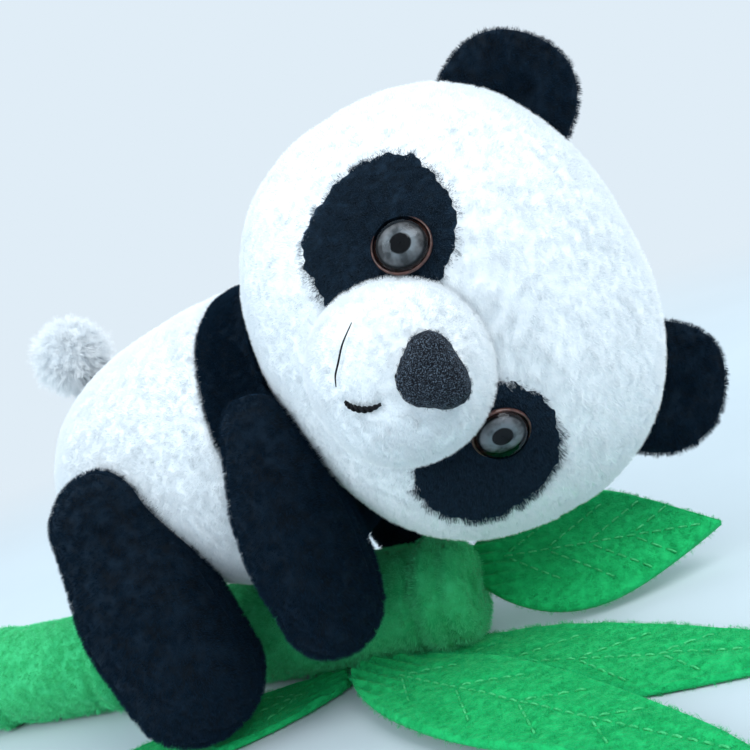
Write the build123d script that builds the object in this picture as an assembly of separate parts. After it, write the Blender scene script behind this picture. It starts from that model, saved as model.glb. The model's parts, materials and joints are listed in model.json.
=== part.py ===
from build123d import *
import math
import os

# Plush panda that lies on its belly and hugs a plush bamboo branch.
#
# Millimetres. +Z is up, +X runs along the stalk to the panda's head, and -Y is
# the panda's right side. The origin is on the floor, under the stalk's flat
# underside and the middle of the torso.

# ---- cloth and clearances --------------------------------------------------
PILE = 1.4            # thickness of plush cloth with its pile
GAP = 0.08            # air between a cover and its filling
MOVE_GAP = 1.5        # air left round a part that moves
THREAD_R = 0.4        # sewing and embroidery thread

# ---- bamboo stalk ----------------------------------------------------------
STALK_R = 14.5
STALK_Z = 14.1        # a little less than the radius, so the underside is flat
STALK_REAR_X = -148.0
STALK_FRONT_X = 50.0
STALK_END_ROUND = 6.0
STALK_JOINT_X = (40.0, -66.0, -112.0)
STALK_JOINT_R = 1.3   # thickness of the rolled fold at each bamboo joint
TACK_X = (-36.0, -22.0, -8.0, 6.0)
TACK_L = 6.0

# ---- torso -----------------------------------------------------------------
TORSO_Z = 68.5        # height of the torso's axis
TORSO_R = 38.5
TORSO_X = 5.0         # middle of the chest ball
RUMP_R = 29.0
RUMP_X = -27.0
TORSO_FRONT_X = 27.0
BAND_X = 10.0         # rear edge of the black shoulder band

# ---- head ------------------------------------------------------------------
HEAD_C = (66.0, -2.0, 83.5)
HEAD_YAW = 17.5       # the face turns from sideways towards the stalk's front
HEAD_LIFT = 12.0      # the crown rises above the stalk's line
FACE_DOWN = 3.0       # the face looks a little below the horizon
HEAD_R = 47.0         # ball of the skull
CHEEK_R = 38.0        # balls of the two cheeks
CHEEK_X = 17.5
NECK = (18.0, 0.0, 78.0)
NECK_HOLLOW = 6.0     # how far the torso's front stays off the head

MUZZLE_C = (0.0, -42.5, -13.5)
MUZZLE_R = 19.2
SMILE_RISE = 16.0     # the smile is an arc round this direction of the muzzle
SMILE_SPREAD = 29.0   # its angle from that direction
SMILE_SWEEP = 110.0
NOSE_Z = -7.8
NOSE_W = 14.0
NOSE_H = 13.0
NOSE_T = 6.0
EYE_X = 20.8
EYE_Z = -1.8
EYE_R = 6.0
EYE_DOME = 4.6
EYE_RIM_T = 1.2
POST_R = 1.9
POST_L = 14.0
WASHER_R = 7.0
WASHER_T = 1.6
PATCH_C = (25.5, -3.5)
PATCH_SEMI = (13.5, 17.0)
PATCH_TILT = 20.0
PATCH_T = 0.9

EAR_C = (39.0, 1.0, 37.0)
EAR_LEAN = 36.0       # the ear's axis leans out from the head's upright
EAR_R = 17.3
EAR_T = 7.0
EAR_ROUND = 2.6
EAR_GAP = 1.6

# ---- limbs: (x, y, z) of the sewn end and the far end, on the right side ----
SHOULDER = (22.0, -34.0, 78.5)
HAND = (24.5, -31.5, 29.5)
ARM_R = (13.2, 13.6)
HIP = (-23.5, -36.0, 61.5)
FOOT = (-15.5, -38.5, 20.2)
LEG_R = (15.5, 17.4)
FOOT_FLOOR = 3.6      # the feet stay above this as they swing, clear of a leaf under them
SWING = 8.0           # how far a limb swings along the body from rest
SEAM_R = 5.0          # ring of thread that sews a limb on

# ---- tail ------------------------------------------------------------------
TAIL_LEAN = 25.0      # the pompom sits this far back from straight up on the rump ball
TAIL_R = 10.5

# ---- leaves: name, base (x, y, z), heading, rise, roll, length, half width --
LEAF_T = 2.0
LEAVES = (
    ("front_leaf", (20.0, -12.0, 0.3), -10.0, 0.0, 0.0, 116.0, 17.0),
    ("side_leaf", (18.0, -16.0, 3.6), -31.0, 0.0, 0.0, 116.0, 15.5),
    ("far_leaf", (46.0, 11.5, 16.0), 7.6, -5.0, 38.0, 66.0, 18.0),
    ("rear_leaf", (12.0, -13.0, 0.3), -150.0, 0.0, 0.0, 88.0, 12.0),
)
LEAF_TURN = {          # hinge at the stem: up and over, or flat on the floor
    "front_leaf": ("lift", 0.0, 10.0),
    "side_leaf": ("lift", 0.0, 10.0),
    "far_leaf": ("sweep", -6.0, 6.0),
    "rear_leaf": ("sweep", -6.0, 6.0),
}
LEAF_STEM_HALF = 3.0
VEIN_W = 0.5
VEIN_H = 0.3
SIDE_VEINS = 4


def head_plane():
    """Head axes: X to the panda's left, Y to the back, Z to the crown."""
    left, up = Vector(0, 0, -1), Vector(1, 0, 0)
    for axis, turn in ((Axis.X, FACE_DOWN), (Axis.Y, -HEAD_LIFT), (Axis.Z, HEAD_YAW)):
        left = left.rotate(axis, turn)
        up = up.rotate(axis, turn)
    return Plane(origin=HEAD_C, x_dir=left, z_dir=up)


def in_head(shape):
    """Carry a shape from head axes to the toy's axes."""
    return head_plane().location * shape


def arc_about(centre_u, radius, from_deg, to_deg):
    """Arc of a profile about (centre_u, 0), angles from the +u direction."""
    points = []
    for deg in (from_deg, (from_deg + to_deg) / 2, to_deg):
        turn = math.radians(deg)
        points.append((centre_u + radius * math.cos(turn), max(0.0, radius * math.sin(turn))))
    return ThreePointArc(*points)


def spin(edges):
    """Solid from profile edges in the upper XY half, spun about X."""
    start = edges[0] @ 0
    end = edges[-1] @ 1
    return revolve(make_face(list(edges) + [Line(end, start)]), axis=Axis.X)


def head_form(grow=0.0):
    """Skull ball with a cheek ball on each side, as one spun solid."""
    skull = HEAD_R + grow
    cheek = CHEEK_R + grow
    meet = (skull ** 2 - cheek ** 2 + CHEEK_X ** 2) / (2 * CHEEK_X)
    skull_deg = math.degrees(math.acos(meet / skull))
    cheek_deg = math.degrees(math.acos((meet - CHEEK_X) / cheek))
    return spin([
        arc_about(-CHEEK_X, cheek, 180, 180 - cheek_deg),
        arc_about(0, skull, 180 - skull_deg, skull_deg),
        arc_about(CHEEK_X, cheek, cheek_deg, 0),
    ])


def face_y(x, z):
    """Depth of the face's surface in head axes at (x, z)."""
    skull = HEAD_R ** 2 - x * x - z * z
    cheek = CHEEK_R ** 2 - (abs(x) - CHEEK_X) ** 2 - z * z
    return -math.sqrt(max(skull, cheek))


def muzzle_form(grow=0.0):
    return Pos(*MUZZLE_C) * Sphere(MUZZLE_R + grow)


def patch_prism(side):
    """Prism over one eye patch's outline, standing off the face."""
    outline = Rot(0, 0, -side * PATCH_TILT) * Ellipse(*PATCH_SEMI)
    return extrude(Plane.XZ * (Pos(side * PATCH_C[0], PATCH_C[1]) * outline), amount=80)


def eye_frame(side, out=0.0):
    """Location on the face at an eye, with +Z pointing out of the head."""
    x = side * EYE_X
    normal = Vector(x, face_y(x, EYE_Z), EYE_Z).normalized()
    return Plane(origin=normal * (HEAD_R + PATCH_T + out), z_dir=normal).location


def eye_post(side, grow=0.0):
    return eye_frame(side) * (Pos(0, 0, 0.5 - POST_L / 2) * Cylinder(POST_R + grow, POST_L + 1))


def eye_parts(side):
    """Clear dome, and the dark backing disc with its barbed post."""
    ball_r = (EYE_R ** 2 + EYE_DOME ** 2) / (2 * EYE_DOME)
    ball = Pos(0, 0, EYE_RIM_T + EYE_DOME - ball_r) * Sphere(ball_r)
    above = Pos(0, 0, EYE_RIM_T + EYE_R) * Box(4 * EYE_R, 4 * EYE_R, 2 * EYE_R)
    lens = eye_frame(side, GAP * 2) * (ball & above)
    disc = Pos(0, 0, EYE_RIM_T / 2) * Cylinder(EYE_R, EYE_RIM_T)
    return lens, (eye_frame(side, GAP * 2) * disc) + eye_post(side)


def eye_room(side):
    """Space that the muzzle leaves for an eye."""
    return eye_frame(side) * (Pos(0, 0, 5) * Cylinder(EYE_R + 0.3, 12))


def washer(grow=0.0):
    ring = Cylinder(WASHER_R + grow, WASHER_T + 2 * grow)
    if grow:
        return ring
    return ring - Cylinder(POST_R + GAP, 2 * WASHER_T)


def eye_washer(side, grow=0.0):
    return eye_frame(side, -POST_L * 0.6) * washer(grow)


def nose_y():
    """Depth of the muzzle's surface under the nose."""
    rise = NOSE_Z - MUZZLE_C[2]
    return MUZZLE_C[1] - math.sqrt(MUZZLE_R ** 2 - rise ** 2)


def nose_form():
    """Rounded triangle, broad towards the brow, domed in front."""
    corner = NOSE_W * 0.2
    half = NOSE_W / 2 - corner
    top = NOSE_H * 0.45 - corner
    spots = [(-half, top), (half, top), (0, corner - NOSE_H * 0.55)]
    rounds = [Pos(x, z) * Circle(corner) for x, z in spots]
    outline = make_hull([edge for spot in rounds for edge in spot.edges()])
    pad = extrude(Plane.XZ * outline, amount=NOSE_T + 6)
    dome_r = NOSE_W * 0.75
    dome = Pos(0, nose_y() - NOSE_T * 0.6 + dome_r, NOSE_Z) * Sphere(dome_r)
    return (Pos(0, nose_y() + 4, NOSE_Z) * pad) & dome


def nose_post(grow=0.0):
    length = POST_L + 4
    post = Rot(90, 0, 0) * Cylinder(POST_R + grow, length)
    return Pos(0, nose_y() + length / 2 - 1, NOSE_Z) * post


def nose_washer(grow=0.0):
    return Pos(0, nose_y() + POST_L * 0.6, NOSE_Z) * (Rot(90, 0, 0) * washer(grow))


def mouth_thread():
    """Embroidered smile: an arc of thread that lies on the muzzle's ball."""
    rise = math.radians(SMILE_RISE)
    spread = math.radians(SMILE_SPREAD)
    shell_r = MUZZLE_R + THREAD_R + GAP
    axis = Vector(0, -math.cos(rise), math.sin(rise))
    centre = Vector(*MUZZLE_C) + axis * (shell_r * math.cos(spread))
    down = Vector(0, -math.sin(rise), -math.cos(rise))
    seat = Plane(origin=centre, x_dir=down, z_dir=axis)
    section = Pos(shell_r * math.sin(spread), 0, 0) * Rot(90, 0, 0) * Circle(THREAD_R)
    arc = revolve(section, axis=Axis.Z, revolution_arc=SMILE_SWEEP)
    return seat.location * (Rot(0, 0, -SMILE_SWEEP / 2) * arc)


def head_parts():
    """Covers, filling, muzzle, patches, eyes, nose and mouth in head axes."""
    outer = head_form()
    shell = outer - head_form(-PILE)
    front_half = Pos(0, EAR_C[1] - 100, 0) * Box(300, 200, 300)
    posts = [eye_post(s, GAP) for s in (-1, 1)] + [nose_post(GAP)]
    pockets = [eye_washer(s, GAP) for s in (-1, 1)]
    muzzle_room = [head_form(GAP), nose_post(GAP)] + [eye_room(s) for s in (-1, 1)]
    face_panel = (shell & front_half) - posts
    nose = nose_form() - muzzle_form(GAP) + nose_post()
    parts = {
        "head_face_panel": face_panel,
        "head_back_panel": shell - front_half,
        "head_stuffing": head_form(-PILE - GAP) - posts - pockets,
        "muzzle_cover": muzzle_form() - muzzle_form(-PILE) - muzzle_room,
        "muzzle_stuffing": muzzle_form(-PILE - GAP) - muzzle_room - nose_washer(GAP),
        "nose": nose,
        "nose_washer": nose_washer(),
        "mouth_stitching": mouth_thread(),
        "eye_washers": Compound(children=[eye_washer(s) for s in (-1, 1)]),
    }
    skin = head_form(PATCH_T) - head_form(GAP / 2) - muzzle_form(GAP)
    for side, name in ((-1, "right"), (1, "left")):
        lens, backing = eye_parts(side)
        parts[name + "_eye_patch"] = (skin & patch_prism(side)) - eye_post(side, GAP)
        parts[name + "_eye_dome"] = lens
        parts[name + "_eye_backing"] = backing
    return {name: in_head(shape) for name, shape in parts.items()}


def ear_parts():
    """Each ear is two plush panels, sewn along the rim."""
    room = head_form(EAR_GAP)
    parts = {}
    for side, name in ((-1, "right"), (1, "left")):
        blade = Rot(90, 0, 0) * Cylinder(EAR_R, EAR_T)
        blade = fillet(blade.edges().filter_by(GeomType.CIRCLE), radius=EAR_ROUND)
        place = Pos(side * EAR_C[0], EAR_C[1], EAR_C[2]) * Rot(0, side * EAR_LEAN, 0)
        blade = place * blade - room
        front = Pos(0, EAR_C[1] - 50, 0) * Box(300, 100, 300)
        parts[name + "_ear_front"] = in_head(blade & front)
        parts[name + "_ear_back"] = in_head(blade - front)
    return parts


def torso_form(grow=0.0):
    """Pear-shaped torso: rump ball, tangent cone and chest ball, cut off in front."""
    chest = TORSO_R + grow
    rump = RUMP_R + grow
    lean = math.degrees(math.asin((TORSO_R - RUMP_R) / (TORSO_X - RUMP_X)))
    front = TORSO_FRONT_X + grow
    front_deg = math.degrees(math.acos((front - TORSO_X) / chest))
    first = arc_about(RUMP_X, rump, 180, 90 + lean)
    last = arc_about(TORSO_X, chest, 90 + lean, front_deg)
    rim = last @ 1
    form = spin([first, Line(first @ 1, last @ 0), last, Line(rim, (rim.X, 0))])
    return Pos(0, 0, TORSO_Z) * form


def torso_parts():
    """Rear cover, black shoulder band and filling, hollowed for the head."""
    solid = torso_form() - in_head(head_form(NECK_HOLLOW))
    lining = torso_form(-PILE) - in_head(head_form(NECK_HOLLOW + PILE))
    filling = torso_form(-PILE - GAP) - in_head(head_form(NECK_HOLLOW + PILE + GAP))
    ahead = Pos(BAND_X + 100, 0, TORSO_Z) * Box(200, 200, 200)
    behind = Pos(BAND_X - 100, 0, TORSO_Z) * Box(200, 200, 200)
    return {
        "torso_cover": (solid & behind) - lining,
        "shoulder_band": (solid & ahead) - lining,
        "torso_stuffing": filling,
    }


def neck_stitching():
    """Drawn thread round the neck opening, between torso and head."""
    reach = (Vector(*HEAD_C) - Vector(*NECK)).normalized()
    seat = Plane(origin=Vector(*NECK) - reach * 1.2, z_dir=reach)
    return {"neck_stitching": seat.location * Torus(8.0, 0.5)}


def limb_form(start, end, radii, grow=0.0):
    """Tapered soft limb: a ball at each end and a cone that touches both."""
    run = Vector(*end) - Vector(*start)
    r0, r1 = [r + grow for r in radii]
    lean = math.degrees(math.asin((r1 - r0) / run.length))
    first = arc_about(0, r0, 180, 90 + lean)
    last = arc_about(run.length, r1, 90 + lean, 0)
    form = spin([first, Line(first @ 1, last @ 0), last])
    return Plane(origin=start, x_dir=run, z_dir=run.cross(Vector(0, 1, 0))).location * form


def seam_seat(start):
    """Where a limb is sewn to the torso's flank, and the surface's outward normal."""
    radial = Vector(0, start[1], start[2] - TORSO_Z).normalized()
    lean = math.asin((TORSO_R - RUMP_R) / (TORSO_X - RUMP_X))
    along = (start[0] - TORSO_X) / TORSO_R
    if along < -math.sin(lean):
        along = -math.sin(lean)
    out = Vector(1, 0, 0) * along + radial * math.sqrt(1 - along * along)
    slide = (start[0] - TORSO_X - TORSO_R * along) / math.cos(lean)
    taper = Vector(1, 0, 0) * math.cos(lean) + radial * math.sin(lean)
    return Vector(TORSO_X, 0, TORSO_Z) + out * TORSO_R + taper * slide, out


def limb_parts(name, seam, start, end, radii):
    """Cover, filling and seam of one right-hand limb, and its left-hand twin."""
    seat, out = seam_seat(start)
    pivot = Axis(seat, out)
    floor = Pos(0, 0, FOOT_FLOOR - 50) * Box(600, 400, 100)
    rooms = [in_head(head_form(NECK_HOLLOW))]
    for turn in (-SWING, SWING):
        rooms.append(torso_form(MOVE_GAP).rotate(pivot, turn))
        rooms.append(floor.rotate(pivot, turn))
    cover = limb_form(start, end, radii)
    filling = limb_form(start, end, radii, -PILE - GAP)
    for room in rooms:
        cover = cover - room
        filling = filling - room
    lining = limb_form(start, end, radii, -PILE)
    ring = Plane(origin=seat + out * 0.5, z_dir=out).location * Torus(SEAM_R, 0.3)
    made = {
        name + "_cover": cover - lining,
        name + "_stuffing": filling,
        seam + "_stitching": ring,
    }
    parts = {}
    for part, shape in made.items():
        parts["right_" + part] = shape
        parts["left_" + part] = mirror(shape, about=Plane.XZ)
    return parts


def tail_parts():
    """Long-pile pompom on the rump."""
    lean = math.radians(TAIL_LEAN)
    away = RUMP_R + TAIL_R + MOVE_GAP
    place = Pos(RUMP_X - away * math.sin(lean), 0, TORSO_Z + away * math.cos(lean))
    return {
        "tail_cover": place * (Sphere(TAIL_R) - Sphere(TAIL_R - PILE)),
        "tail_stuffing": place * Sphere(TAIL_R - PILE - GAP),
    }


def stalk_form(grow=0.0):
    """Round stalk with softened ends and a flat underside."""
    rear = STALK_REAR_X - grow
    front = STALK_FRONT_X + grow
    bar = Rot(0, 90, 0) * Cylinder(STALK_R + grow, front - rear)
    bar = Pos((rear + front) / 2, 0, STALK_Z) * bar
    bar = fillet(bar.edges().filter_by(GeomType.CIRCLE), radius=STALK_END_ROUND)
    floor = Pos(0, 0, -50 - grow) * Box(600, 200, 100)
    return bar - floor


def stalk_parts():
    """Tube cover, two end caps, filling, joint folds and the belly's tack stitches."""
    shell = stalk_form() - stalk_form(-PILE)
    beyond = Pos(STALK_FRONT_X - STALK_END_ROUND + 50, 0, 0) * Box(100, 100, 200)
    behind = Pos(STALK_REAR_X + STALK_END_ROUND - 50, 0, 0) * Box(100, 100, 200)
    around = stalk_form(GAP)
    floor = Pos(0, 0, -50) * Box(600, 200, 100)
    folds = []
    for x in STALK_JOINT_X:
        fold = Pos(x, 0, STALK_Z) * (Rot(0, 90, 0) * Torus(STALK_R, STALK_JOINT_R))
        folds.append(fold - around - floor)
    tack_z = (STALK_Z + STALK_R + TORSO_Z - TORSO_R) / 2
    tacks = [Pos(x, 0, tack_z) * (Rot(0, 90, 0) * Cylinder(0.25, TACK_L)) for x in TACK_X]
    return {
        "stalk_cover": shell - beyond - behind,
        "stalk_front_cap": shell & beyond,
        "stalk_rear_cap": shell & behind,
        "stalk_stuffing": stalk_form(-PILE - GAP),
        "stalk_joint_folds": Compound(children=folds),
        "belly_stitching": Compound(children=tacks),
    }


def leaf_place(base, heading, rise, roll):
    """Leaf axes: X from stem to tip, Y across, Z up."""
    return Pos(*base) * Rot(0, 0, heading) * Rot(0, -rise, 0) * Rot(roll, 0, 0)


def leaf_half(length, half_width, u):
    """Half width of a leaf at the fraction u of its length."""
    swell = math.sin(math.pi * min(1.0, u) ** 0.8)
    return LEAF_STEM_HALF * (1 - u) + (half_width - LEAF_STEM_HALF * 0.5) * max(0.0, swell)


def leaf_blade(length, half_width):
    """Two layers of cloth sewn round the edge, flat, with a pointed tip."""
    stations = (0.0, 0.1, 0.25, 0.45, 0.65, 0.85)
    upper = [(length * u, leaf_half(length, half_width, u)) for u in stations]
    lower = [(x, -y) for x, y in reversed(upper)]
    tip = (length, 0)
    rim = [Spline(*upper, tip), Spline(tip, *lower), Line(lower[-1], upper[0])]
    return extrude(make_face(rim), amount=LEAF_T)


def vein_threads(length, half_width):
    """Stitched midrib and side veins on the leaf's upper face."""
    height = LEAF_T + VEIN_H / 2 + 0.03
    run = length * 0.84
    threads = [Pos(length * 0.06 + run / 2, 0, height) * Box(run, VEIN_W, VEIN_H)]
    for i in range(SIDE_VEINS):
        start = length * (0.16 + 0.17 * i)
        reach = leaf_half(length, half_width, 0.22 + 0.17 * i) * 1.1
        for side in (-1, 1):
            turn = Pos(start, side * VEIN_W * 2, 0) * Rot(0, 0, side * 38)
            threads.append(turn * Pos(reach / 2, 0, height) * Box(reach, VEIN_W, VEIN_H))
    return Compound(children=threads)


def leaf_hinge(name, base, heading):
    """Axis that a leaf turns about at its stem."""
    if LEAF_TURN[name][0] == "sweep":
        return Axis(base, (0, 0, 1))
    turn = math.radians(heading)
    return Axis(base, (math.sin(turn), -math.cos(turn), 0))


def leaf_parts():
    """Blades and vein stitching, kept off the stalk through each leaf's range."""
    parts = {}
    for name, base, heading, rise, roll, length, half_width in LEAVES:
        place = leaf_place(base, heading, rise, roll)
        hinge = leaf_hinge(name, base, heading)
        low, high = LEAF_TURN[name][1:]
        turns = (-low, -(low + high) / 2, -high)
        rooms = [stalk_form(MOVE_GAP).rotate(hinge, turn) for turn in turns]
        parts[name] = place * leaf_blade(length, half_width) - rooms
        parts[name + "_veins"] = place * vein_threads(length, half_width) - rooms
    return parts


def write(parts):
    os.makedirs("parts", exist_ok=True)
    for name, shape in parts.items():
        export_step(shape, "parts/" + name + ".step")


write(head_parts())
write(ear_parts())
write(torso_parts())
write(neck_stitching())
write(limb_parts("arm", "shoulder", SHOULDER, HAND, ARM_R))
write(limb_parts("leg", "hip", HIP, FOOT, LEG_R))
write(tail_parts())
write(stalk_parts())
write(leaf_parts())
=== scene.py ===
import json
import math
import bpy
import numpy as np
from mathutils import Matrix, Vector


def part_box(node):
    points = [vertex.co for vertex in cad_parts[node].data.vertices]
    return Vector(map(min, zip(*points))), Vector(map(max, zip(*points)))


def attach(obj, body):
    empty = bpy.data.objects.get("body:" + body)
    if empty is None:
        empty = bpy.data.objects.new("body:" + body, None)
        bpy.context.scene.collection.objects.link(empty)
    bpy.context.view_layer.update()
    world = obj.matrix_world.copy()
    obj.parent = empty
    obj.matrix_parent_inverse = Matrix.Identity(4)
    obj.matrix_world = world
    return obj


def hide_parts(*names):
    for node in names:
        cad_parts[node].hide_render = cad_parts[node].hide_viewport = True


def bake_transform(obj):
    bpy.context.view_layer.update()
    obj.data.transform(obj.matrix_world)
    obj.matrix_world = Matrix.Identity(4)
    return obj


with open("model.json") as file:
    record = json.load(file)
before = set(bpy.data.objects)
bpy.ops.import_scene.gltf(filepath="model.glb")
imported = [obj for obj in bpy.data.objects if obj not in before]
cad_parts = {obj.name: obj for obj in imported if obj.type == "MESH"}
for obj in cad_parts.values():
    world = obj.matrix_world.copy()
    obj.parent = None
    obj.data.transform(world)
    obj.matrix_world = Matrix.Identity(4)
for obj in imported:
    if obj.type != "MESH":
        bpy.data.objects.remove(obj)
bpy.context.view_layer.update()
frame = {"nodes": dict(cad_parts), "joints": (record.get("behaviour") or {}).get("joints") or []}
MM = 0.001

# A plush panda lying along a bamboo stalk. Each soft form is a smooth field; its mesh is found by casting
# rays at the field, then roughened with nap, sewn grooves and a short pile of hair strands.
# Lengths are millimetres in the shared frame, or in head axes where a comment says so:
# X to the panda's left, Y to the back of the head, Z to the crown.

HEAD_TURNS = (("z", 17.5), ("y", -12.0), ("x", 3.0))
HEAD_SEMI = (54.0, 42.0, 45.4)
HEAD_POWER = 2.28
HEAD_SHIFT = (-0.5, 0.0, 0.8)            # head axes
MUZZLE_C = (-1.0, -39.0, -13.5)          # head axes
MUZZLE_SEMI = (19.0, 17.5, 18.6)
MUZZLE_POWER = 2.1
NOSE_C = (0.0, -7.9)                     # head axes, x and z
NOSE_SEMI = (7.5, 7.0)
NOSE_RISE = 4.4
SMILE_SIDE = ((-15.5, -16.0), (-13.0, -19.5), (-10.4, -22.0), (-8.5, -23.8), (-6.6, -24.8))
SMILE_MIDDLE = ((-3.4, -24.7), (-2.2, -24.3), (-0.9, -23.0), (0.0, -21.0), (0.1, -18.8))
SMILE_TWISTS = 4
PATCHES = {                              # head axes: centre x, z, half sizes, tilt
    "right": (-26.4, -3.5, 14.4, 18.3, -18.7),
    "left": (25.5, -7.7, 14.9, 18.1, -25.4),
}
PATCH_RISE = 0.5
EYES = {-1: (-22.3, -0.4), 1: (20.4, -2.4)}   # head axes: x and z of the right and the left eye
EYE_STAND = 0.7                          # from the face to the foot of the dome
EYE_R = 6.0
EYE_DOME = 4.6
EAR_C = (39.0, 1.0, 37.0)                # head axes, mirrored
EAR_SHIFT = (2.4, -1.4)                  # both ears sit a little to the left, the left one lower
EAR_LEAN = 36.0
EAR_SEMI = (16.6, 4.2, 16.7)
EAR_HOLLOW = ((0.0, -26.0, 3.0), 23.4)   # ball that dishes an ear's front, in the ear's own axes
HEAD_SEAM_Y = 9.0                        # head axes, seam between the face and the back of the head

TORSO_Z = 68.5
CHEST = ((5.0, 0.0, TORSO_Z), 38.5)
RUMP = ((-27.0, 0.0, TORSO_Z), 29.5)
NECK_BALL = ((24.0, 0.0, 76.0), 31.0)
BAND_TOP_X = 9.5
BAND_LOW_X = 19.5
PANEL_T = 1.4

ARM = {"a": (24.0, -34.0, 74.5), "b": (24.9, -31.5, 28.8), "ra": 8.6, "rb": 11.9, "bow": 3.4}
LEG = {"a": (-24.5, -36.0, 62.0), "b": (-14.5, -38.5, 22.0), "ra": 13.4, "rb": 17.2, "bow": 1.6}

LIMB_AIR = 0.6                           # between a limb and the torso through its swing
HEAD_AIR = 1.8                           # between a limb and the head
NECK_AIR = 2.0                           # between the torso and the head
PAW_FLOOR = 3.2                          # lowest point of a paw
TAIL_R = 8.0                             # without its pile

STALK = {"rear": -148.0, "front": 50.0, "r": 14.5, "z": 14.1, "end": 6.5}
STALK_JOINTS = (40.0, -66.0, -112.0)

LEAF_STEM_HALF = 3.0
LEAF_HEM = 0.15                          # the cloth reaches this far past the leaf's outline
LEAF_STITCH = 3.1                        # pitch of the vein stitches
LEAF_SWAY = (0.4, 14.0)                  # depth and size of the cloth's slow wave
LEAF_RIPPLE = (0.16, 5.0)
LEAF_LOWEST = -0.2                       # how far the stitches may press the cloth down
LEAVES = {                               # base, heading, rise, roll, length, half width
    "front_leaf": ((20.0, -12.0, 0.3), -12.0, 0.0, 0.0, 116.0, 18.2),
    "side_leaf": ((18.0, -16.0, 3.6), -31.0, 0.0, 0.0, 116.0, 14.8),
    "far_leaf": ((46.0, 11.5, 16.0), 7.6, -5.0, 38.0, 66.0, 18.0),
    "rear_leaf": ((12.0, -13.0, 0.3), -150.0, 0.0, 0.0, 88.0, 12.0),
}

# Nap: height of the stuffing's lumps and of the cloth's fine nap.
HEAD_NAP = (0.28, 0.07)
MUZZLE_NAP = (0.18, 0.06)
EAR_NAP = (0.2, 0.06)
TORSO_NAP = (0.4, 0.07)
LIMB_NAP = (0.45, 0.07)
TAIL_NAP = (0.5, 0.1)
STALK_NAP = (0.4, 0.06)

# Pile: strand length, strands per mm2 and strand width.
HEAD_PILE = (1.0, 12.0, 0.12)
MUZZLE_PILE = (0.85, 12.0, 0.12)
NOSE_PILE = (0.3, 7.0, 0.08)
PATCH_PILE = (0.85, 11.0, 0.12)
EAR_PILE = (1.05, 12.0, 0.12)
LIMB_PILE = (1.05, 12.0, 0.12)
TORSO_PILE = (1.0, 11.0, 0.12)
TAIL_PILE = (2.9, 18.0, 0.14)
STALK_PILE = (0.9, 8.0, 0.13)
LEAF_PILE = (0.45, 7.0, 0.10)

# Divisions along each edge of the cube that a form's rays start from.
HEAD_MESH, MUZZLE_MESH, NOSE_MESH, EYE_MESH, EAR_MESH, LIMB_MESH, TAIL_MESH = 100, 56, 34, 26, 44, 64, 32

LIGHTS = (                               # metres: name, place, aim, size, power, colour
    ("key", (0.55, -0.25, 0.75), (0.03, 0, 0.06), 0.55, 5.2, (1.0, 0.99, 0.97)),
    ("window", (-0.45, -0.65, 0.5), (0.0, 0, 0.06), 0.5, 4.4, (0.9, 0.96, 1.0)),
    ("back", (-0.2, 0.7, 0.6), (0.0, 0, 0.06), 0.7, 2.6, (0.92, 0.97, 1.0)),
)
CAMERA_AT = (133.06, -224.95, 101.51)
CAMERA_LOOK = (-0.3725, 0.9217, -0.1084)
CAMERA_UP = (0.2646, 0.2175, 0.9395)
CAMERA_LENS = 45.6


# ---- small geometry tools ---------------------------------------------------
def turn(axis, degrees):
    return np.array(Matrix.Rotation(math.radians(degrees), 3, axis.upper()))


HEAD_C = np.array(sum(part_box("head_stuffing"), Vector())) / 2 / MM
HEAD_AXES = np.array([[0, 0, 1], [0, 1, 0], [-1, 0, 0]], float)
for _axis, _degrees in reversed(HEAD_TURNS):
    HEAD_AXES = turn(_axis, _degrees) @ HEAD_AXES


def from_head(p):
    return HEAD_C + np.asarray(p, float) @ HEAD_AXES.T


def to_head(p):
    return (np.asarray(p, float) - HEAD_C) @ HEAD_AXES


def lengths(v):
    return np.sqrt((v * v).sum(-1))


def rough(p, size, seed):
    """Smooth unevenness between about -1 and 1, with bumps of the given size."""
    rng = np.random.default_rng(seed)
    total = np.zeros(len(p))
    for _ in range(14):
        way = rng.normal(size=3)
        way /= np.linalg.norm(way)
        wave = 2 * math.pi / (size * rng.uniform(1.5, 3.0))
        total += np.sin(p @ way * wave + rng.uniform(0, 2 * math.pi))
    return total / 4.2


def superball(p, centre, semi, power):
    """Rough distance outside a squared-off ball, negative inside."""
    q = np.abs((p - np.array(centre)) / np.array(semi))
    return ((q ** power).sum(-1) ** (1 / power) - 1) * min(semi)


def ball(p, centre, radius):
    return lengths(p - np.array(centre)) - radius


def join(a, b, soft):
    """Union of two fields with a soft valley between them."""
    mix = np.clip(0.5 + 0.5 * (b - a) / soft, 0, 1)
    return b * (1 - mix) + a * mix - soft * mix * (1 - mix)


def limb_field(p, limb):
    """Ball-ended limb with a bulging middle."""
    a, b = np.array(limb["a"], float), np.array(limb["b"], float)
    run = b - a
    t = np.clip((p - a) @ run / (run @ run), 0, 1)
    radius = limb["ra"] + (limb["rb"] - limb["ra"]) * t + limb["bow"] * np.sin(math.pi * t)
    return lengths(p - a - t[:, None] * run) - radius


def head_field(p):
    """In head axes."""
    return superball(p, HEAD_SHIFT, HEAD_SEMI, HEAD_POWER)


def muzzle_field(p):
    """In head axes."""
    return superball(p, MUZZLE_C, MUZZLE_SEMI, MUZZLE_POWER)


def torso_field(p):
    body = join(ball(p, *CHEST), ball(p, *RUMP), 16.0)
    body = join(body, ball(p, *NECK_BALL), 8.0)
    return np.maximum(body, NECK_AIR - head_field(to_head(p)))


def cast(field, origin, ways, reach=120.0):
    """Points where rays from origin leave the form."""
    low = np.zeros(len(ways))
    high = np.full(len(ways), reach)
    for _ in range(26):
        middle = (low + high) / 2
        inside = field(origin + ways * middle[:, None]) < 0
        low = np.where(inside, middle, low)
        high = np.where(inside, high, middle)
    return origin + ways * low[:, None]


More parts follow.
